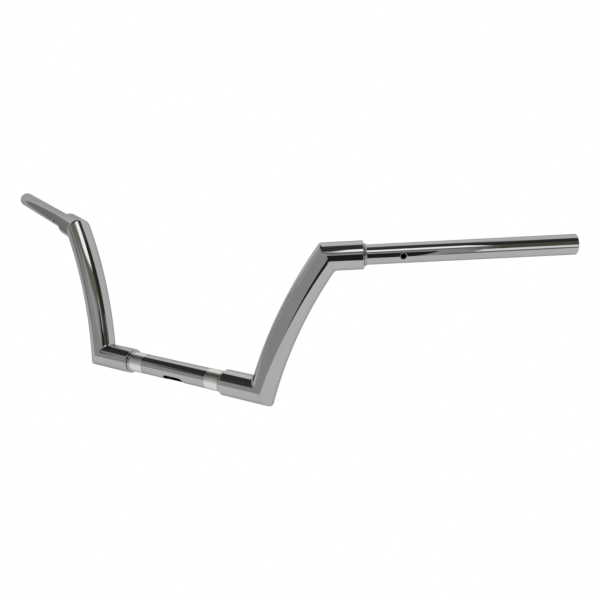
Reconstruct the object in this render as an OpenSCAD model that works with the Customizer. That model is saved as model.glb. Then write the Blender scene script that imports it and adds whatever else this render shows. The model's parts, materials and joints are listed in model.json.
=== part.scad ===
// Motorcycle handlebar with mitred corners: a slim clamp tube across the middle, two curved
// uprights and two slim grip tubes, butt-welded together out of three sizes of steel tube.
//
// Frame, in millimetres: the origin is the middle of the clamp tube's axis. +X runs along the
// clamp tube to the right-hand grip, +Y points back towards the rider and +Z points up.

/* [Clamp tube] */
// Outside diameter of the clamp tube, which also sets the bore of the uprights
clamp_d = 25.4; // [22:0.1:28.6]
// Wall thickness of the clamp tube
clamp_wall = 3.175; // [2:0.025:4]
// Bare length of the clamp tube between the two corner stubs
clamp_span = 145.4; // [125:0.1:240]
// Length of each knurled band that a riser clamp bites on
knurl_len = 19; // [12:0.5:25]
// How far the knurl stands above the smooth tube
knurl_raise = 0.2; // [0.2:0.05:0.4]

/* [Uprights and corner stubs] */
// Wall thickness of the uprights and of the corner stubs
main_wall = 3.175; // [2.4:0.025:4]
// Length of a lower stub, from its open end to the middle of the corner
lower_stub_len = 53; // [48:0.5:80]
// Angle of the foot of an upright outwards from vertical
foot_lean = 11.1; // [5:0.1:18]
// Angle that the whole upright leans back
back_lean = 12.7; // [0:0.1:20]
// Angle that an upright curves outwards between its foot and its top
bend_angle = 20.3; // [16:0.1:24]
// Radius of that curve, on the tube's centre line
bend_radius = 497.7; // [400:0.1:600]
// Length of an upper stub, from the middle of the corner to its open end
upper_stub_len = 39.5; // [37:0.5:60]

/* [Grip tubes] */
// Outside diameter of the grip tubes
grip_d = 22.225; // [19:0.025:22.225]
// Wall thickness of the grip tubes
grip_wall = 2.4; // [1.6:0.1:3]
// Distance from the middle of the upper corner to the open end of the grip
grip_reach = 265.3; // [200:0.1:320]
// Angle that the grips sweep back
grip_sweep = 25; // [10:0.5:32]
// Angle that the grips rise towards their ends
grip_rise = 3.5; // [-5:0.5:10]

/* [Wiring openings] */
// Width of the slot in the clamp tube
slot_w = 12.7; // [8:0.1:13]
// Length of that slot, over its round ends
slot_len = 32; // [20:0.5:40]
// Angle of the slot forwards from straight down
slot_turn = 45; // [0:1:60]
// Diameter of the wiring hole in each grip tube
wire_hole_d = 6.5; // [4:0.1:8]
// Distance from the middle of the upper corner to that hole
wire_hole_at = 81.7; // [60:0.1:120]
// Angle of that hole forwards from straight down
wire_hole_turn = 82; // [45:1:120]

/* [Welds] */
// Length of the full-depth weld across each mitred corner
mitre_weld_w = 3; // [2:0.25:4]
// Length of the bead at the mouth of each stub
step_weld_len = 3; // [2:0.25:4]
// Bevel round each open edge
edge_bevel = 0.8; // [0.3:0.1:1]

/* [Hidden] */
$fn = 96;

// The clamp tube slides into the bore of the lower stubs, so one size follows from the other.
clamp_r = clamp_d / 2;
main_r = clamp_r + main_wall;
grip_r = grip_d / 2;
grip_bore_r = grip_r - grip_wall;
// The end of a grip tube is turned down by this much to seat in its sleeve.
spigot_step = 0.2;
spigot_r = grip_r - spigot_step;
clamp_insert = 30;
sleeve_len = 26;
knurl_gap = 1.2;

mouth_x = clamp_span / 2;
corner_x = mouth_x + lower_stub_len;
knurl_x = mouth_x - step_weld_len - knurl_gap - knurl_len;

// The top of the upright's centre line, in its own leaning plane: x outwards and z up the foot
upright_top = bend_radius * [1 - cos(bend_angle), sin(bend_angle)];

// Turns a point or a direction of the leaning plane into the handlebar's own axes
function leaned(p) = let(
        out = p[0] * cos(foot_lean) + p[1] * sin(foot_lean),
        up = p[1] * cos(foot_lean) - p[0] * sin(foot_lean)
    ) [out, up * sin(back_lean), up * cos(back_lean)];
function unit(v) = v / norm(v);

lower_corner = [corner_x, 0, 0];
upper_corner = lower_corner + leaned(upright_top);
foot_dir = leaned([0, 1]);
top_dir = leaned([sin(bend_angle), cos(bend_angle)]);
grip_dir = [
    cos(grip_rise) * cos(grip_sweep),
    cos(grip_rise) * sin(grip_sweep),
    sin(grip_rise),
];
// Each mitre halves the angle between its two tubes.
lower_mitre = unit([1, 0, 0] + foot_dir);
upper_mitre = unit(top_dir + grip_dir);

cut = 400;
past = 30;
// Extra arc at each end of an upright, in degrees
overrun = 3;

// Everything further along n than the plane through p, moved on by shift
module beyond(p, n, shift = 0) {
    translate(p) rotate([0, acos(n[2]), atan2(n[1], n[0])])
        translate([-cut / 2, -cut / 2, shift]) cube(cut);
}

// Everything behind that plane
module before(p, n, shift = 0) {
    beyond(p, -n, -shift);
}

// A rod from z = 0 whose far edge is bevelled
module bevelled_rod(r, len, bevel) {
    cylinder(r = r, h = len - bevel);
    translate([0, 0, len - bevel]) cylinder(r1 = r, r2 = r - bevel, h = bevel);
}

// Puts +Z along the clamp tube towards the right
module along_clamp(x = 0) {
    translate([x, 0, 0]) rotate([0, 90, 0]) children();
}

// Puts +Z up the foot of the right upright and +X outwards
module at_foot() {
    translate(lower_corner) rotate([-back_lean, 0, 0]) rotate([0, foot_lean, 0]) children();
}

// Puts +Z along the right grip, and +X down
module along_grip(z = 0) {
    translate(upper_corner) rotate([0, 90 - grip_rise, grip_sweep]) translate([0, 0, z]) children();
}

// The arc that an upright follows, running on past both corners for the mitres to cut
module upright_rod(r) {
    at_foot() translate([bend_radius, 0, 0]) rotate([90, 0, 0])
        rotate([0, 0, 180 - bend_angle - overrun])
            rotate_extrude(angle = bend_angle + 2 * overrun) translate([bend_radius, 0]) circle(r);
}

// The lower stub's tube, running on past the corner
module lower_stub_pipe() {
    difference() {
        along_clamp(corner_x + past) mirror([0, 0, 1])
            bevelled_rod(main_r, lower_stub_len + past, edge_bevel);
        along_clamp(mouth_x - 1) cylinder(r = clamp_r, h = lower_stub_len + past + 2);
    }
}

// The upper stub's tube, running back past the corner
module upper_stub_pipe() {
    difference() {
        along_grip(-past) bevelled_rod(main_r, upper_stub_len + past, edge_bevel);
        along_grip(-past - 1) cylinder(r = clamp_r, h = upper_stub_len + past + 2);
    }
}

// A half-round bead that sits on z = 0 round a tube of radius r
module step_bead(r) {
    rotate_extrude() intersection() {
        translate([r, 0]) square(step_weld_len);
        translate([r, step_weld_len / 2]) circle(step_weld_len / 2);
    }
}

module knurl_band() {
    cylinder(r = clamp_r + knurl_raise, h = knurl_len);
}

module clamp_tube() {
    half = mouth_x + clamp_insert;
    color("gainsboro") difference() {
        union() {
            along_clamp(-half) cylinder(r = clamp_r, h = 2 * half);
            along_clamp(knurl_x) knurl_band();
            along_clamp(-knurl_x - knurl_len) knurl_band();
        }
        along_clamp(-half - 1) cylinder(r = clamp_r - clamp_wall, h = 2 * half + 2);
        wiring_slot();
    }
}

// The round-ended slot through the clamp tube's lower front wall
module wiring_slot() {
    run = slot_len - slot_w;
    depth = clamp_r + 2;
    rotate([-slot_turn, 0, 0]) mirror([0, 0, 1]) {
        translate([-run / 2, -slot_w / 2, 0]) cube([run, slot_w, depth]);
        for (side = [-1, 1]) translate([side * run / 2, 0, 0]) cylinder(d = slot_w, h = depth);
    }
}

module right_lower_step_weld() {
    color("silver") along_clamp(mouth_x) mirror([0, 0, 1]) step_bead(clamp_r);
}

module right_lower_stub() {
    color("gainsboro") difference() {
        lower_stub_pipe();
        beyond(lower_corner, lower_mitre, -mitre_weld_w);
    }
}

// The welds fill the stubs' side of each mitre.
module right_lower_mitre_weld() {
    color("silver") difference() {
        intersection() {
            lower_stub_pipe();
            beyond(lower_corner, lower_mitre, -mitre_weld_w);
        }
        beyond(lower_corner, lower_mitre);
    }
}

module right_upright() {
    color("gainsboro") difference() {
        upright_rod(main_r);
        upright_rod(clamp_r);
        before(lower_corner, lower_mitre);
        beyond(upper_corner, upper_mitre);
    }
}

module right_upper_mitre_weld() {
    color("silver") difference() {
        intersection() {
            upper_stub_pipe();
            before(upper_corner, upper_mitre, mitre_weld_w);
        }
        before(upper_corner, upper_mitre);
    }
}

module right_upper_stub() {
    color("gainsboro") difference() {
        upper_stub_pipe();
        before(upper_corner, upper_mitre, mitre_weld_w);
    }
}

// Steps the main tube's bore down to the grip tube
module right_upper_sleeve() {
    color("darkgray") along_grip(upper_stub_len - sleeve_len) difference() {
        cylinder(r = clamp_r, h = sleeve_len);
        translate([0, 0, -1]) cylinder(r = spigot_r, h = sleeve_len + 2);
    }
}

module right_upper_step_weld() {
    color("silver") along_grip(upper_stub_len) {
        step_bead(grip_r);
        difference() {
            cylinder(r = grip_r, h = step_weld_len);
            translate([0, 0, -1]) cylinder(r = spigot_r, h = step_weld_len + 2);
        }
    }
}

module right_grip_tube() {
    shoulder = sleeve_len + step_weld_len;
    start = upper_stub_len - sleeve_len;
    bare = grip_reach - start - shoulder;
    color("gainsboro") difference() {
        along_grip(start) {
            cylinder(r = spigot_r, h = shoulder);
            translate([0, 0, shoulder]) bevelled_rod(grip_r, bare, edge_bevel);
        }
        along_grip(start - 1) cylinder(r = grip_bore_r, h = shoulder + bare + 2);
        along_grip(wire_hole_at) rotate([0, 0, -wire_hole_turn]) rotate([0, 90, 0])
            cylinder(d = wire_hole_d, h = grip_d);
    }
}

// The left side mirrors the right.
module left_side() {
    mirror([1, 0, 0]) children();
}

module left_lower_step_weld() { left_side() right_lower_step_weld(); }
module left_lower_stub() { left_side() right_lower_stub(); }
module left_lower_mitre_weld() { left_side() right_lower_mitre_weld(); }
module left_upright() { left_side() right_upright(); }
module left_upper_mitre_weld() { left_side() right_upper_mitre_weld(); }
module left_upper_stub() { left_side() right_upper_stub(); }
module left_upper_sleeve() { left_side() right_upper_sleeve(); }
module left_upper_step_weld() { left_side() right_upper_step_weld(); }
module left_grip_tube() { left_side() right_grip_tube(); }

clamp_tube();
left_lower_step_weld();
left_lower_stub();
left_lower_mitre_weld();
left_upright();
left_upper_mitre_weld();
left_upper_stub();
left_upper_sleeve();
left_upper_step_weld();
left_grip_tube();
right_lower_step_weld();
right_lower_stub();
right_lower_mitre_weld();
right_upright();
right_upper_mitre_weld();
right_upper_stub();
right_upper_sleeve();
right_upper_step_weld();
right_grip_tube();
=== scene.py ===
"""Looks for a chromed motorcycle handlebar: smooth tube skins, mitre welds, knurl and studio."""

import json
import math

import bpy
from mathutils import Matrix, Vector


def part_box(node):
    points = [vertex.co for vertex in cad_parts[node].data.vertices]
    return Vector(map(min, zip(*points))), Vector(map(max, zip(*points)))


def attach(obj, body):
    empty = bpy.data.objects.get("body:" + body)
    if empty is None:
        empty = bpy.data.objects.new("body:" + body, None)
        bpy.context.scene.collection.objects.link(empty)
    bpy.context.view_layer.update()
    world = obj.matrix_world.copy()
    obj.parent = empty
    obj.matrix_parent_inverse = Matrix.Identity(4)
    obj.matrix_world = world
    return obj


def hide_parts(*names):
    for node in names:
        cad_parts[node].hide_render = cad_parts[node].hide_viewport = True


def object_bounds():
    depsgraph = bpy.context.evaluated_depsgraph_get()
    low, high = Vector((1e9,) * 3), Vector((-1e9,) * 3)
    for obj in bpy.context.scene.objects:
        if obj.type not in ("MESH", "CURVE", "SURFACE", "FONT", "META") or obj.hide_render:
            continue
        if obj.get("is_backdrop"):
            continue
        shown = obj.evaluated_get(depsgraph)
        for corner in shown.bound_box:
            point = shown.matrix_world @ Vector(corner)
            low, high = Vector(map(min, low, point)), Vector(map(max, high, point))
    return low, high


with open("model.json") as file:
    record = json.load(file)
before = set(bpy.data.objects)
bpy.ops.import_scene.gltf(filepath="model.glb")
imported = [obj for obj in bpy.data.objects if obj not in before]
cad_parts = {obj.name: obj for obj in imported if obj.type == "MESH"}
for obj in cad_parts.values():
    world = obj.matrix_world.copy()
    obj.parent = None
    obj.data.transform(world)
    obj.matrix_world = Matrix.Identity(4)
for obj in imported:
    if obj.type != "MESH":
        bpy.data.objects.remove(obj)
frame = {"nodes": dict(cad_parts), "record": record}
cad_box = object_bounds()

# ---- Sizes, in metres and radians, as the CAD has them ---------------------------------------

MM = 0.001
mounts = {m["name"]: m for m in frame["record"]["mounts"]}

MAIN_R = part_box("right_lower_stub")[1].z
GRIP_R = mounts["right_grip"]["dims"]["r_mm"] * MM
GRIP_BORE_R = mounts["right_bar_end"]["dims"]["r_mm"] * MM
KNURL_R = mounts["right_clamp_seat"]["dims"]["r_mm"] * MM
KNURL_LEN = mounts["right_clamp_seat"]["dims"]["length_mm"] * MM
KNURL_RAISE = 0.2 * MM
CLAMP_WALL = 3.175 * MM
CLAMP_R = KNURL_R - KNURL_RAISE
CLAMP_BORE_R = CLAMP_R - CLAMP_WALL
CLAMP_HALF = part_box("clamp_tube")[1].x

MOUTH_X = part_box("right_lower_stub")[0].x
LOWER_STUB_LEN = 53 * MM
UPPER_STUB_LEN = 39.5 * MM
FOOT_LEAN = math.radians(11.1)
BACK_LEAN = math.radians(12.7)
BEND_ANGLE = math.radians(20.3)
BEND_RADIUS = 497.7 * MM
GRIP_REACH = 265.3 * MM
GRIP_START = 13.5 * MM
SPIGOT_STEP = 0.2 * MM
SPIGOT_R = GRIP_R - SPIGOT_STEP
SLOT_LEN = 32 * MM
SLOT_W = 12.7 * MM
WIRE_HOLE_AT = 81.7 * MM
WIRE_HOLE_R = mounts["right_wire_hole"]["dims"]["r_mm"] * MM

# How far each weld runs on to its two tubes: more in the crook of a corner, less outside it
WELD_RUN = 2.4 * MM
WELD_FLARE = 0.75 * MM
# The step beads, and the rounding of the open edges
BEAD_R = 1.5 * MM
BEAD_FOOT = 0.5 * MM
BEAD_SUNK = 0.1 * MM
EDGE_ROUND = 0.8 * MM
SLOT_LIP = 0.35 * MM
WIRE_HOLE_LIP = 0.7 * MM
# The knurl's V grooves
KNURL_DEPTH = 0.09 * MM

AROUND = 128
TURN = 2 * math.pi


# ---- Centre lines ----------------------------------------------------------------------------


class Straight:
    """A straight centre line from start, with two directions across it to count angles from."""

    def __init__(self, start, heading, across, up):
        self.start, self.head, self.across, self.up = start, heading, across, up

    def centre(self, s):
        return self.start + self.head * s

    def heading(self, s):
        return self.head

    def radial(self, s, phi):
        return self.across * math.cos(phi) + self.up * math.sin(phi)

    def at(self, s, phi, r):
        return self.centre(s) + self.radial(s, phi) * r


def leaned(x, z):
    """A point of the right upright's leaning plane, x outwards and z up its foot."""
    out = x * math.cos(FOOT_LEAN) + z * math.sin(FOOT_LEAN)
    rise = z * math.cos(FOOT_LEAN) - x * math.sin(FOOT_LEAN)
    return Vector((out, rise * math.sin(BACK_LEAN), rise * math.cos(BACK_LEAN)))


class Arc(Straight):
    """The right upright's centre line, from its lower corner."""

    def __init__(self, start):
        self.start = start
        self.up = leaned(0, 1).cross(leaned(-1, 0))

    def centre(self, s):
        t = s / BEND_RADIUS
        return self.start + leaned(1 - math.cos(t), math.sin(t)) * BEND_RADIUS

    def heading(self, s):
        t = s / BEND_RADIUS
        return leaned(math.sin(t), math.cos(t))

    def radial(self, s, phi):
        t = s / BEND_RADIUS
        return leaned(-math.cos(t), math.sin(t)) * math.cos(phi) + self.up * math.sin(phi)


def mirrored(v, normal):
    return v - normal * (2 * v.dot(normal))


lower_corner = Vector((MOUTH_X + LOWER_STUB_LEN, 0, 0))
upright = Arc(lower_corner)
UPRIGHT_LEN = BEND_ANGLE * BEND_RADIUS
upper_corner = upright.centre(UPRIGHT_LEN)
grip_dir = Vector(mounts["right_grip"]["axis"])
lower_mitre = (Vector((1, 0, 0)) + upright.heading(0)).normalized()
upper_mitre = (upright.heading(UPRIGHT_LEN) + grip_dir).normalized()

# A stub's angles are the upright's, seen in the mitre as in a mirror, so that both meet there.
lower_stub = Straight(
    lower_corner,
    Vector((-1, 0, 0)),
    mirrored(upright.radial(0, 0), lower_mitre),
    mirrored(upright.up, lower_mitre),
)
upper_stub = Straight(
    upper_corner,
    grip_dir,
    mirrored(upright.radial(UPRIGHT_LEN, 0), upper_mitre),
    mirrored(upright.up, upper_mitre),
)


def mitre_at(path, phi, r, corner, normal, s):
    """How far along path its surface line at phi meets a mitre, from a first guess s."""
    for _ in range(8):
        s -= (path.at(s, phi, r) - corner).dot(normal) / path.heading(s).dot(normal)
    return s


def weld_run(s):
    """The weld's run where the mitre crosses a surface line at s past the corner."""
    return WELD_RUN + WELD_FLARE * s / MAIN_R


# ---- Skins -----------------------------------------------------------------------------------


class Shell:
    """A mesh built out of strips, each with its own exact normals."""

    def __init__(self):
        self.points, self.index, self.faces, self.normals = [], {}, [], []

    def vertex(self, p):
        key = tuple(round(c * 1e7) for c in p)
        if key not in self.index:
            self.index[key] = len(self.points)
            self.points.append(p)
        return self.index[key]

    def strip(self, rows, normals, skip=None):
        """Faces between closed rows of points. skip(row, column) leaves a face out."""
        count = len(rows[0])
        for j in range(len(rows) - 1):
            for i in range(count):
                if skip and skip(j, i):
                    continue
                k = (i + 1) % count
                spots = [(j, i), (j, k), (j + 1, k), (j + 1, i)]
                a, b, c, d = (rows[m][n] for m, n in spots)
                if (c - a).cross(d - b).dot(normals[j][i] + normals[j + 1][k]) < 0:
                    spots.reverse()
                self.faces.append([self.vertex(rows[m][n]) for m, n in spots])
                self.normals.append([normals[m][n] for m, n in spots])

    def build(self, name, material, mirror=False):
        flip = Matrix.Diagonal((-1, 1, 1)) if mirror else Matrix.Identity(3)
        step = -1 if mirror else 1
        mesh = bpy.data.meshes.new(name)
        mesh.from_pydata([flip @ p for p in self.points], [], [f[::step] for f in self.faces])
        mesh.polygons.foreach_set("use_smooth", [True] * len(mesh.polygons))
        mesh.normals_split_custom_set([flip @ n for face in self.normals for n in face[::step]])
        mesh.materials.append(material)
        piece = bpy.data.objects.new(name, mesh)
        bpy.context.scene.collection.objects.link(piece)
        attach(piece, "root")
        return piece


def angles(count=AROUND):
    return [TURN * i / count for i in range(count)]


def spread(a, b, count):
    return [a + (b - a) * k / count for k in range(count + 1)]


def wall(path, r, ends, steps, inside=False):
    """Rows of a tube wall. ends(phi) gives where its surface line starts and stops."""
    lines = [spread(*ends(phi), steps) for phi in angles()]
    side = -1 if inside else 1
    rows = [[path.at(ln[j], phi, r) for ln, phi in zip(lines, angles())] for j in range(steps + 1)]
    normals = [
        [path.radial(ln[j], phi) * side for ln, phi in zip(lines, angles())]
        for j in range(steps + 1)
    ]
    return rows, normals


def turned(path, profile):
    """Rows of a lathe-turned surface. profile is (along, radius, lean of the normal) points."""
    rows = [[path.at(s, phi, r) for phi in angles()] for s, r, _ in profile]
    normals = [
        [path.radial(s, phi) * math.cos(lean) + path.heading(s) * math.sin(lean) for phi in angles()]
        for s, _, lean in profile
    ]
    return rows, normals


def rounding(s, r, radius, start, stop, steps=6):
    """An arc of a profile about (s, r), between two leans of its normal in quarter turns."""
    leans = [q * math.pi / 2 for q in spread(start, stop, steps)]
    return [(s + radius * math.sin(a), r + radius * math.cos(a), a) for a in leans]


def face_between(outer, inner, normal):
    """A flat face between two rings."""
    rows = [outer, inner]
    return rows, [[normal] * len(outer) for _ in rows]


# ---- Tubes and welds -------------------------------------------------------------------------


def upright_ends(r):
    def ends(phi):
        low = mitre_at(upright, phi, r, lower_corner, lower_mitre, 0)
        high = mitre_at(upright, phi, r, upper_corner, upper_mitre, UPRIGHT_LEN)
        return low + weld_run(low), high - weld_run(UPRIGHT_LEN - high)

    return ends


def upright_tube():
    shell = Shell()
    outer, normals = wall(upright, MAIN_R, upright_ends(MAIN_R), 72)
    shell.strip(outer, normals)
    inner, normals = wall(upright, CLAMP_R, upright_ends(CLAMP_R), 24, inside=True)
    shell.strip(inner, normals)
    shell.strip(*face_between(outer[0], inner[0], -lower_mitre))
    shell.strip(*face_between(outer[-1], inner[-1], upper_mitre))
    return shell


def stub_tube(path, length, corner, mitre):
    """A corner stub, from its weld to its rounded mouth."""

    def ends(r):
        def between(phi):
            s = mitre_at(path, phi, r, corner, mitre, 0)
            return s + weld_run(s), length - EDGE_ROUND

        return between

    shell = Shell()
    outer, normals = wall(path, MAIN_R, ends(MAIN_R), 6)
    shell.strip(outer, normals)
    inner, normals = wall(path, CLAMP_R, ends(CLAMP_R), 4, inside=True)
    shell.strip(inner, normals)
    shell.strip(*face_between(outer[0], inner[0], -path.head))
    shell.strip(*turned(path, rounding(length - EDGE_ROUND, MAIN_R - EDGE_ROUND, EDGE_ROUND, 0, 1)))
    mouth = [(length, r, math.pi / 2) for r in (MAIN_R - EDGE_ROUND, CLAMP_R)]
    shell.strip(*turned(path, mouth))
    shell.strip(*turned(path, [(s, CLAMP_R, math.pi) for s in (length, length - EDGE_ROUND)]))
    return shell


def mitre_weld(stub, corner, mitre, from_s, way):
    """The dressed weld round a mitre: each surface line of the stub turns smoothly into the
    upright's. way is +1 where the upright runs on from this corner, and -1 where it ends."""
    shell = Shell()

    def lines(r):
        for phi in angles():
            s = mitre_at(stub, phi, r, corner, mitre, 0)
            t = mitre_at(upright, phi, r, corner, mitre, from_s)
            middle = (stub.at(s, phi, r) + upright.at(t, phi, r)) / 2
            yield (
                stub.at(s + weld_run(s), phi, r),
                middle,
                upright.at(t + way * weld_run((t - from_s) * way), phi, r),
                stub.radial(s, phi),
            )

    def bent(r, steps, side):
        found = list(lines(r))
        rows, normals = [], []
        for k in spread(0, 1, steps):
            rows.append([a * (1 - k) ** 2 + m * (2 * k * (1 - k)) + b * k**2 for a, m, b, _ in found])
            along = [(m - a) * (1 - k) + (b - m) * k for a, m, b, _ in found]
            count = len(found)
            row = rows[-1]
            around = [row[(i + 1) % count] - row[i - 1] for i in range(count)]
            across = [d.cross(e).normalized() for d, e in zip(along, around)]
            flip = 1 if across[0].dot(found[0][3]) > 0 else -1
            normals.append([n * flip * side for n in across])
        return rows, normals

    outer, normals = bent(MAIN_R, 18, 1)
    shell.strip(outer, normals)
    inner, normals = bent(CLAMP_R, 6, -1)
    shell.strip(inner, normals)
    shell.strip(*face_between(outer[0], inner[0], stub.head))
    shell.strip(*face_between(outer[-1], inner[-1], upright.heading(from_s) * way))
    return shell


def step_bead(path, s, r):
    """The small round bead at a stub's mouth, and its foot on the slimmer tube."""
    shell = Shell()
    sunk = r - BEAD_SUNK
    bead = rounding(s + BEAD_R, r, BEAD_R, -1, 0.75, 16)
    top_s, top_r, top_lean = bead[-1]
    foot = [
        (top_s + BEAD_FOOT * k, top_r + (r - top_r) * k, top_lean * (1 - k))
        for k in spread(0, 1, 4)
    ]
    tail = foot[-1][0]
    shell.strip(*turned(path, bead + foot[1:]))
    shell.strip(*turned(path, [(q, sunk, math.pi) for q in (s, tail)]))
    shell.strip(*turned(path, [(tail, q, math.pi / 2) for q in (r, sunk)]))
    shell.strip(*turned(path, [(s, q, -math.pi / 2) for q in (r, sunk)]))
    return shell


# ---- Tubes with a hole through one wall ------------------------------------------------------


def outline_reach(a, y, run, radius):
    """How much to scale (a, y) by to bring it on to a slot of that length and end radius."""
    low, high = 0.0, 4.0
    for _ in range(40):
        k = (low + high) / 2
        beyond = math.hypot(max(abs(a * k) - run / 2, 0), y * k) - radius
        low, high = (k, high) if beyond < 0 else (low, k)
    return low


def outline_normal(a, y, run):
    """The direction out of such a slot at a point of its outline: along, and across."""
    over = max(abs(a) - run / 2, 0) * (1 if a > 0 else -1)
    size = math.hypot(over, y)
    return over / size, y / size


def holed_tube(path, stations, r, bore_r, at, run, radius, lip, reach):
    """A tube wall from stations[0] to stations[-1], with a round-ended hole at angle 0.

    The tube's grid keeps a square window round the hole, reach columns each way, and closed
    rings run from that window to the hole's rim, round its lip, and through the wall.
    """
    shell = Shell()
    phis = angles()
    inside = [j for j, s in enumerate(stations) if abs(s - at) < radius + run / 2 + 4 * MM]
    first, last = inside[0], inside[-1]

    def skip(j, i):
        return first <= j < last and (i < reach or i >= AROUND - reach)

    for size, side in ((r, 1), (bore_r, -1)):
        rows = [[path.at(s, phi, size) for phi in phis] for s in stations]
        normals = [[path.radial(s, phi) * side for phi in phis] for s in stations]
        shell.strip(rows, normals, skip)

    spots = [(stations[j], TURN * reach / AROUND) for j in range(first, last)]
    spots += [(stations[last], TURN * i / AROUND) for i in range(reach, -reach, -1)]
    spots += [(stations[j], -TURN * reach / AROUND) for j in range(last, first, -1)]
    spots += [(stations[first], TURN * i / AROUND) for i in range(-reach, reach)]

    def rim(grow, size):
        found = []
        for s, phi in spots:
            a, y = s - at, r * math.sin(phi)
            k = outline_reach(a, y, run, radius + grow)
            found.append((at + a * k, math.asin(y * k / size)))
        return found

    def rings(size, grow, side, steps=8):
        edge = rim(grow, size)
        rows, normals = [], []
        for k in spread(0, 1, steps):
            mixed = [(p[0] + (q[0] - p[0]) * k, p[1] + (q[1] - p[1]) * k) for p, q in zip(spots, edge)]
            rows.append([path.at(s, phi, size) for s, phi in mixed])
            normals.append([path.radial(s, phi) * side for s, phi in mixed])
        return rows, normals

    outer = rings(r, lip, 1)
    inner = rings(bore_r, 0, -1)
    shell.strip(*outer)
    shell.strip(*inner)

    lip_rows, lip_normals = [], []
    for lean in spread(0, math.pi / 2, 5):
        grow = lip * (1 - math.sin(lean))
        depth = lip * (1 - math.cos(lean))
        row, normal_row = [], []
        for s, phi in rim(grow, r):
            a, y = s - at, r * math.sin(phi)
            out_a, out_y = outline_normal(a, y, run)
            into = path.head * -out_a + path.up * -out_y
            radial = path.radial(s, phi)
            row.append(path.at(s, phi, r) - path.across * depth)
            normal_row.append(radial * math.cos(lean) + into * math.sin(lean))
        lip_rows.append(row)
        lip_normals.append(normal_row)
    shell.strip(lip_rows, lip_normals)
    shell.strip([lip_rows[-1], inner[0][-1]], [lip_normals[-1]] * 2)
    return shell


def slot_frame():
    """The clamp tube's centre line, with angle 0 through the middle of its slot."""
    out = Vector(mounts["wiring_slot"]["axis"]).normalized()
    along = Vector((1, 0, 0))
    return Straight(Vector((0, 0, 0)), along, out, along.cross(out))


def clamp_tube():
    knurl_in = abs(mounts["right_clamp_seat"]["pos_m"][0]) - KNURL_LEN / 2
    path = slot_frame()
    window = 24 * MM
    middle = spread(-window, window, 32)
    side = [window + (knurl_in - window) * k for k in (0.5, 1)]
    stations = [-s for s in side[::-1]] + middle + side
    run = SLOT_LEN - SLOT_W
    shell = holed_tube(path, stations, CLAMP_R, CLAMP_BORE_R, 0, run, SLOT_W / 2, SLOT_LIP, 22)
    for way in (-1, 1):
        outer = [(way * s, CLAMP_R, 0) for s in spread(knurl_in, CLAMP_HALF, 6)]
        inner = [(way * s, CLAMP_BORE_R, math.pi) for s in spread(knurl_in, CLAMP_HALF, 6)]
        end = [(way * CLAMP_HALF, r, way * math.pi / 2) for r in (CLAMP_R, CLAMP_BORE_R)]
        for profile in (outer, inner, end):
            shell.strip(*turned(path, profile))
    return shell


def grip_path():
    out = Vector(mounts["right_wire_hole"]["axis"]).normalized()
    return Straight(upper_corner, grip_dir, out, grip_dir.cross(out))


def grip_tube():
    path = grip_path()
    shoulder = UPPER_STUB_LEN + 2 * BEAD_R
    end = GRIP_REACH - EDGE_ROUND
    window = 9 * MM
    stations = spread(shoulder, WIRE_HOLE_AT - window, 6)[:-1]
    stations += spread(WIRE_HOLE_AT - window, WIRE_HOLE_AT + window, 18)
    stations += spread(WIRE_HOLE_AT + window, end, 14)[1:]
    hole = (WIRE_HOLE_AT, 0, WIRE_HOLE_R, WIRE_HOLE_LIP)
    shell = holed_tube(path, stations, GRIP_R, GRIP_BORE_R, *hole, 18)
    bevel = rounding(end, GRIP_R - EDGE_ROUND, EDGE_ROUND, 0, 1)
    face = [(GRIP_REACH, GRIP_R - EDGE_ROUND, math.pi / 2), (GRIP_REACH, GRIP_BORE_R, math.pi / 2)]
    mouth = [(GRIP_REACH, GRIP_BORE_R, math.pi), (end, GRIP_BORE_R, math.pi)]
    spigot = [(GRIP_START, SPIGOT_R, 0), (shoulder, SPIGOT_R, 0)]
    step = [(shoulder, SPIGOT_R, -math.pi / 2), (shoulder, GRIP_R, -math.pi / 2)]
    bore = [(GRIP_START, GRIP_BORE_R, math.pi), (shoulder, GRIP_BORE_R, math.pi)]
    back = [(GRIP_START, r, -math.pi / 2) for r in (SPIGOT_R, GRIP_BORE_R)]
    for profile in (bevel, face, mouth, spigot, step, bore, back):
        shell.strip(*turned(path, profile))
    return shell


def knurl_band():
    """The right knurled band: two families of fine V grooves that cross in diamonds."""
    shell = Shell()
    path = slot_frame()
    diamonds_round = 64
    per_diamond = 6
    count = diamonds_round * per_diamond
    rows_long = 60
    centre = abs(mounts["right_clamp_seat"]["pos_m"][0])
    step_s = KNURL_LEN / rows_long
    step_y = TURN * KNURL_R / count
    half = per_diamond / 2

    def groove(k):
        away = min(k % per_diamond, per_diamond - k % per_diamond)
        return min(1.0, away / (half * 0.8))

    def height(j, i):
        edge = min(j, rows_long - j) / 2
        return min(groove(i + j), groove(i - j)) * KNURL_DEPTH * min(1.0, edge)

    rows, normals = [], []
    for j in range(rows_long + 1):
        s = centre - KNURL_LEN / 2 + step_s * j
        row, normal_row = [], []
        for i in range(count):
            phi = TURN * i / count
            r = KNURL_R - KNURL_DEPTH + height(j, i)
            slope_s = (height(j + 1, i) - height(j - 1, i)) / (2 * step_s)
            slope_y = (height(j, i + 1) - height(j, i - 1)) / (2 * step_y)
            across = path.radial(s, phi + math.pi / 2)
            normal = path.radial(s, phi) - path.head * slope_s - across * slope_y
            row.append(path.at(s, phi, r))
            normal_row.append(normal.normalized())
        rows.append(row)
        normals.append(normal_row)
    shell.strip(rows, normals)
    return shell


# ---- Materials -------------------------------------------------------------------------------


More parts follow.
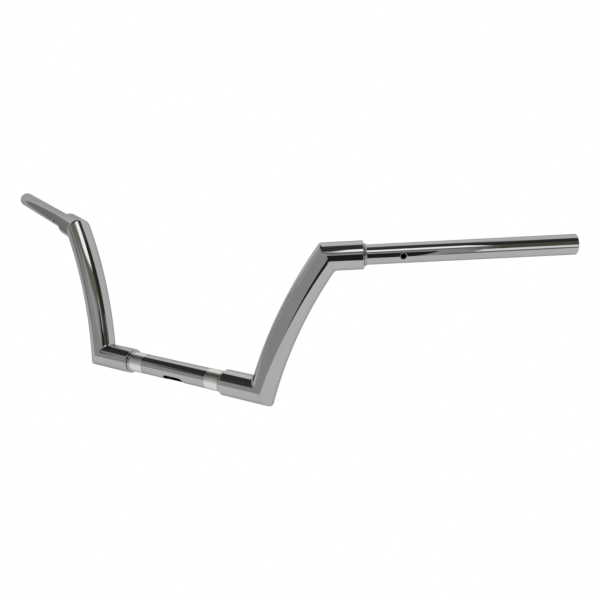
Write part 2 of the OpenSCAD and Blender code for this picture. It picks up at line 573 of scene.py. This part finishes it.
class Nodes:
    """Short names for adding and joining shader nodes."""

    def __init__(self, tree):
        self.tree = tree
        tree.nodes.clear()

    def add(self, kind, **values):
        node = self.tree.nodes.new(kind)
        for name, value in values.items():
            setattr(node, name, value)
        return node

    def join(self, output, socket):
        self.tree.links.new(output, socket)

    def math(self, operation, a, b=None):
        node = self.add("ShaderNodeMath", operation=operation)
        for socket, value in zip(node.inputs, (a, b)):
            if isinstance(value, bpy.types.NodeSocket):
                self.join(value, socket)
            elif value is not None:
                socket.default_value = value
        return node.outputs[0]

    def noise(self, coordinates, scale, detail=2.0):
        node = self.add("ShaderNodeTexNoise")
        self.join(coordinates, node.inputs["Vector"])
        node.inputs["Scale"].default_value = scale
        node.inputs["Detail"].default_value = detail
        return node.outputs["Fac"]

    def ramp(self, value, stops):
        node = self.add("ShaderNodeValToRGB")
        elements = node.color_ramp.elements
        while len(elements) < len(stops):
            elements.new(0.5)
        for element, (position, colour) in zip(elements, stops):
            element.position = position
            element.color = (*colour, 1)
        self.join(value, node.inputs["Fac"])
        return node.outputs["Color"]

    def span(self, value, low, high):
        node = self.add("ShaderNodeMapRange")
        self.join(value, node.inputs["Value"])
        node.inputs["To Min"].default_value = low
        node.inputs["To Max"].default_value = high
        return node.outputs["Result"]


# The material constants: chrome's tone face on and at its edges, and the height of its waviness
CHROME_TONE = 0.55
EDGE_TONE = 0.5
RELIEF = 0.02 * MM
PALE_GREEN = (0.88, 0.92, 0.84)


def metal(name, dark, light, smooth, rough, bump, bump_scale):
    """Plated or bare metal: a faint drift of tone, patches of haze and a slight waviness.

    EDGE_TONE darkens what is seen at a glancing angle.
    """
    material = bpy.data.materials.new(name)
    material.use_nodes = True
    n = Nodes(material.node_tree)
    place = n.add("ShaderNodeTexCoord").outputs["Object"]
    shader = n.add("ShaderNodeBsdfPrincipled")
    shader.inputs["Metallic"].default_value = 1.0
    shader.inputs["Specular Tint"].default_value = (*grey(EDGE_TONE), 1)
    n.join(n.ramp(n.noise(place, 18), [(0.3, dark), (0.7, light)]), shader.inputs["Base Color"])
    n.join(n.span(n.noise(place, 45, 4), smooth, rough), shader.inputs["Roughness"])
    relief = n.add("ShaderNodeBump")
    relief.inputs["Strength"].default_value = bump
    relief.inputs["Distance"].default_value = RELIEF
    n.join(n.noise(place, bump_scale), relief.inputs["Height"])
    n.join(relief.outputs["Normal"], shader.inputs["Normal"])
    out = n.add("ShaderNodeOutputMaterial")
    n.join(shader.outputs["BSDF"], out.inputs["Surface"])
    return material


def grey(level, warm=0.0):
    return (level * (1 + warm), level, level * (1 - warm))


def olive(level):
    return (level * 1.02, level, level * 0.8)


# Each: name, its darker and lighter tone, roughness from and to, bump strength and fineness
deep, pale = grey(CHROME_TONE - 0.02), grey(CHROME_TONE + 0.02)
chrome = metal("polished_chrome", deep, pale, 0.02, 0.06, 0.1, 300)
weld_chrome = metal("weld_chrome", grey(CHROME_TONE - 0.03), grey(CHROME_TONE), 0.03, 0.08, 0.2, 500)
knurl_chrome = metal("frosted_knurl", grey(0.88), PALE_GREEN, 0.14, 0.24, 0.1, 1500)
sleeve_steel = metal("sleeve_steel", grey(0.38), grey(0.46), 0.30, 0.45, 0.4, 900)


# ---- Pieces ----------------------------------------------------------------------------------


def place(shell, name, node, material, slot, mirror):
    piece = shell.build(name, material, mirror)
    if node:
        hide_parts(node)
    return piece


bar = place(clamp_tube(), "clamp_tube_skin", "clamp_tube", chrome, "polished_chrome", False)
bands = knurl_band()
stub_mouth = Straight(Vector((MOUTH_X, 0, 0)), Vector((-1, 0, 0)), Vector((0, 1, 0)), Vector((0, 0, 1)))
right_hand = [
    ("lower_step_bead", "lower_step_weld", step_bead(stub_mouth, 0, CLAMP_R), "weld_bead"),
    (
        "lower_stub_skin",
        "lower_stub",
        stub_tube(lower_stub, LOWER_STUB_LEN, lower_corner, lower_mitre),
        "polished_chrome",
    ),
    (
        "lower_corner_weld",
        "lower_mitre_weld",
        mitre_weld(lower_stub, lower_corner, lower_mitre, 0, 1),
        "weld_bead",
    ),
    ("upright_skin", "upright", upright_tube(), "polished_chrome"),
    (
        "upper_corner_weld",
        "upper_mitre_weld",
        mitre_weld(upper_stub, upper_corner, upper_mitre, UPRIGHT_LEN, -1),
        "weld_bead",
    ),
    (
        "upper_stub_skin",
        "upper_stub",
        stub_tube(upper_stub, UPPER_STUB_LEN, upper_corner, upper_mitre),
        "polished_chrome",
    ),
    ("upper_step_bead", "upper_step_weld", step_bead(grip_path(), UPPER_STUB_LEN, GRIP_R), "weld_bead"),
    ("grip_skin", "grip_tube", grip_tube(), "polished_chrome"),
]
for hand in ("left", "right"):
    left = hand == "left"
    for name, node, shell, slot in right_hand:
        material = weld_chrome if slot == "weld_bead" else chrome
        place(shell, f"{hand}_{name}", f"{hand}_{node}", material, slot, left)
    place(bands, f"{hand}_knurled_band", None, knurl_chrome, "polished_chrome", left)
    sleeve = frame["nodes"][f"{hand}_upper_sleeve"]
    sleeve.data.materials.clear()
    sleeve.data.materials.append(sleeve_steel)


# ---- Studio ----------------------------------------------------------------------------------

FLOOR_Z = -60 * MM
FLOOR_GLOW = 0.745
# The table's outline, in metres: its front edge is cut back on the right, where the camera stands
TABLE_EDGE = [(-3, -0.5), (0.25, -0.5), (0.45, -0.24), (1.2, -0.1), (3, -0.1), (3, 3), (-3, 3)]

# Upright cards: (what, floor point of one side, of the other, bottom, top, colour), in metres.
# All but the last stand in one plane, just behind the camera.
CARDS = [
    # This card is partly the dark camera stand and partly painted shade: below the table top it is a
    # dark sheet for the shaded floor beyond the table's front edge.
    ("camera_stand_and_floor_shade", (0.44, -0.57), (0.74, -0.57), -0.9, 0.38, grey(0.02)),
    ("low_lamp", (0.87, -0.57), (1.3, -0.57), -0.03, 0.30, grey(1.1)),
    ("dark_screen", (0.94, -0.57), (3, -0.57), 0.30, 1.32, olive(0.10)),
    ("top_of_the_dark_screen", (0.94, -0.57), (3, -0.57), 1.32, 3, grey(0.03)),
    ("shade_under_the_lamp", (0.80, -0.57), (1.6, -0.57), -0.9, -0.03, grey(0.22)),
    ("dark_card_on_the_left", (-0.6, 0.05), (-0.6, 0.155), 0.03, 0.30, grey(0.37, 0.02)),
]

# The dark pole of a light stand on the left: the ends of its middle line (x, z), and half its width
POLE_Y = -0.40
POLE = [(-0.62, 0.03), (-0.57, 0.34)]
POLE_HALF = 36 * MM
POLE_COLOUR = grey(0.02)


def glowing(name, points, faces, colour):
    """Part of the studio that shows in the chrome, and not to the camera."""
    mesh = bpy.data.meshes.new(name)
    mesh.from_pydata(points, [], faces)
    material = bpy.data.materials.new(name)
    material.use_nodes = True
    n = Nodes(material.node_tree)
    glow = n.add("ShaderNodeEmission")
    glow.inputs["Color"].default_value = (*colour, 1)
    out = n.add("ShaderNodeOutputMaterial")
    n.join(glow.outputs["Emission"], out.inputs["Surface"])
    mesh.materials.append(material)
    thing = bpy.data.objects.new(name, mesh)
    thing.visible_camera = False
    bpy.context.scene.collection.objects.link(thing)
    thing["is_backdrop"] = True


def studio():
    outline = [(x, y, FLOOR_Z) for x, y in TABLE_EDGE]
    glowing("table_top", outline, [range(len(outline))], grey(FLOOR_GLOW))
    for name, near, far, bottom, top, colour in CARDS:
        corners = [(*near, bottom), (*far, bottom), (*far, top), (*near, top)]
        glowing(name, corners, [range(4)], colour)
    pole = [(x + side * POLE_HALF, POLE_Y, z) for side in (-1, 1) for x, z in POLE]
    glowing("pole", pole, [(0, 1, 3, 2)], POLE_COLOUR)


# The room behind all that, as it shows in the chrome. Azimuth is in degrees from straight in
# front, growing to the right, and elevation in degrees above the horizon.
# (what, azimuth, half width, softness, lowest, highest, softness, colour)
WALL = grey(0.385)
ROOM = [
    ("rear wall", 180, 76, 6, -90, 90, 5, grey(0.72)),
    ("bright left of the rear wall", -152, 30, 10, 14, 60, 8, grey(0.86)),
    ("rear of the left wall", -114, 18, 6, -14, 32, 5, grey(0.88)),
    ("left wall", -72, 18, 6, -6, 30, 3, grey(0.46, 0.02)),
    ("ceiling", -2, 106, 4, 51, 90, 3, grey(0.045)),
    ("zenith", 0, 180, 1, 78, 90, 4, grey(0.045)),
    ("low ceiling in front", -20, 27, 3, 26, 60, 4, grey(0.05)),
    ("low ceiling on the left", -78, 33, 4, 37, 60, 3, grey(0.04)),
    ("bright top of the front wall", 5, 19, 5, 15, 31, 3, grey(0.48, 0.03)),
    ("beam over the front wall", -7, 18, 4, 31, 43, 3, olive(0.22)),
    ("dim end of the beam", -21, 7, 3, 19, 43, 3, olive(0.20)),
    ("right end of the room", 80, 26, 4, 3, 52, 4, olive(0.035)),
    ("dim wall under the softbox", 36, 28, 4, 28, 44, 3, olive(0.19)),
    ("dark wall behind the stand", 56, 18, 3, 8, 28, 3, olive(0.05)),
    ("small window", 60, 4, 2, 20, 31, 2, grey(0.75)),
    ("softbox", 41.5, 20, 1.5, 41, 58, 2, grey(1.5)),
]


# Where a Mix node keeps its two colours and their mixture
MIX_A, MIX_B, MIX_RESULT = 6, 7, 2


def room_light():
    """White to the camera, and the room above to everything else."""
    world = bpy.data.worlds.new("room")
    bpy.context.scene.world = world
    world.use_nodes = True
    n = Nodes(world.node_tree)
    parts = n.add("ShaderNodeSeparateXYZ")
    n.join(n.add("ShaderNodeTexCoord").outputs["Generated"], parts.inputs[0])
    x, y, z = parts.outputs
    degree = math.degrees(1)
    azimuth = n.math("MULTIPLY", n.math("ARCTAN2", x, n.math("MULTIPLY", y, -1.0)), degree)
    elevation = n.math("MULTIPLY", n.math("ARCSINE", z), degree)

    def past(value, edge, soft):
        node = n.add("ShaderNodeMapRange", interpolation_type="SMOOTHSTEP")
        n.join(value, node.inputs["Value"])
        node.inputs["From Min"].default_value = edge - soft
        node.inputs["From Max"].default_value = edge + soft
        return node.outputs["Result"]

    colour = n.add("ShaderNodeRGB").outputs[0]
    colour.default_value = (*WALL, 1)
    for _, centre, half, soft, low, high, soft_up, paint in ROOM:
        turned_to = n.add("ShaderNodeMath", operation="WRAP")
        n.join(n.math("SUBTRACT", azimuth, float(centre)), turned_to.inputs[0])
        turned_to.inputs[1].default_value = 180
        turned_to.inputs[2].default_value = -180
        aside = n.math("ABSOLUTE", turned_to.outputs[0])
        across = n.math("SUBTRACT", 1.0, past(aside, half, soft))
        above = past(elevation, low, soft_up)
        below = n.math("SUBTRACT", 1.0, past(elevation, high, soft_up))
        cover = n.math("MULTIPLY", across, n.math("MULTIPLY", above, below))
        mix = n.add("ShaderNodeMix", data_type="RGBA")
        n.join(cover, mix.inputs["Factor"])
        n.join(colour, mix.inputs[MIX_A])
        mix.inputs[MIX_B].default_value = (*paint, 1)
        colour = mix.outputs[MIX_RESULT]

    room = n.add("ShaderNodeBackground")
    n.join(colour, room.inputs["Color"])
    white = n.add("ShaderNodeBackground")
    white.inputs["Color"].default_value = (1, 1, 1, 1)
    choose = n.add("ShaderNodeMixShader")
    n.join(n.add("ShaderNodeLightPath").outputs["Is Camera Ray"], choose.inputs[0])
    n.join(room.outputs[0], choose.inputs[1])
    n.join(white.outputs[0], choose.inputs[2])
    out = n.add("ShaderNodeOutputWorld")
    n.join(choose.outputs[0], out.inputs["Surface"])


def camera():
    azimuth = math.radians(27.66)
    elevation = math.radians(16.305)
    data = bpy.data.cameras.new("camera")
    data.sensor_width = 36
    data.lens = 35.77
    data.clip_start = 0.01
    data.clip_end = 50
    forward = Vector(
        (
            -math.sin(azimuth) * math.cos(elevation),
            math.cos(azimuth) * math.cos(elevation),
            -math.sin(elevation),
        )
    )
    view = bpy.data.objects.new("camera", data)
    view.location = (0.4603, -0.5456, 0.2974)
    view.rotation_mode = "QUATERNION"
    view.rotation_quaternion = forward.to_track_quat("-Z", "Y")
    bpy.context.scene.collection.objects.link(view)
    bpy.context.scene.camera = view


bpy.context.scene.view_settings.view_transform = "Standard"
studio()
room_light()
camera()

boxes = {"cad": cad_box, "visual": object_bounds()}
{name: [list(corner) for corner in box] for name, box in boxes.items()}
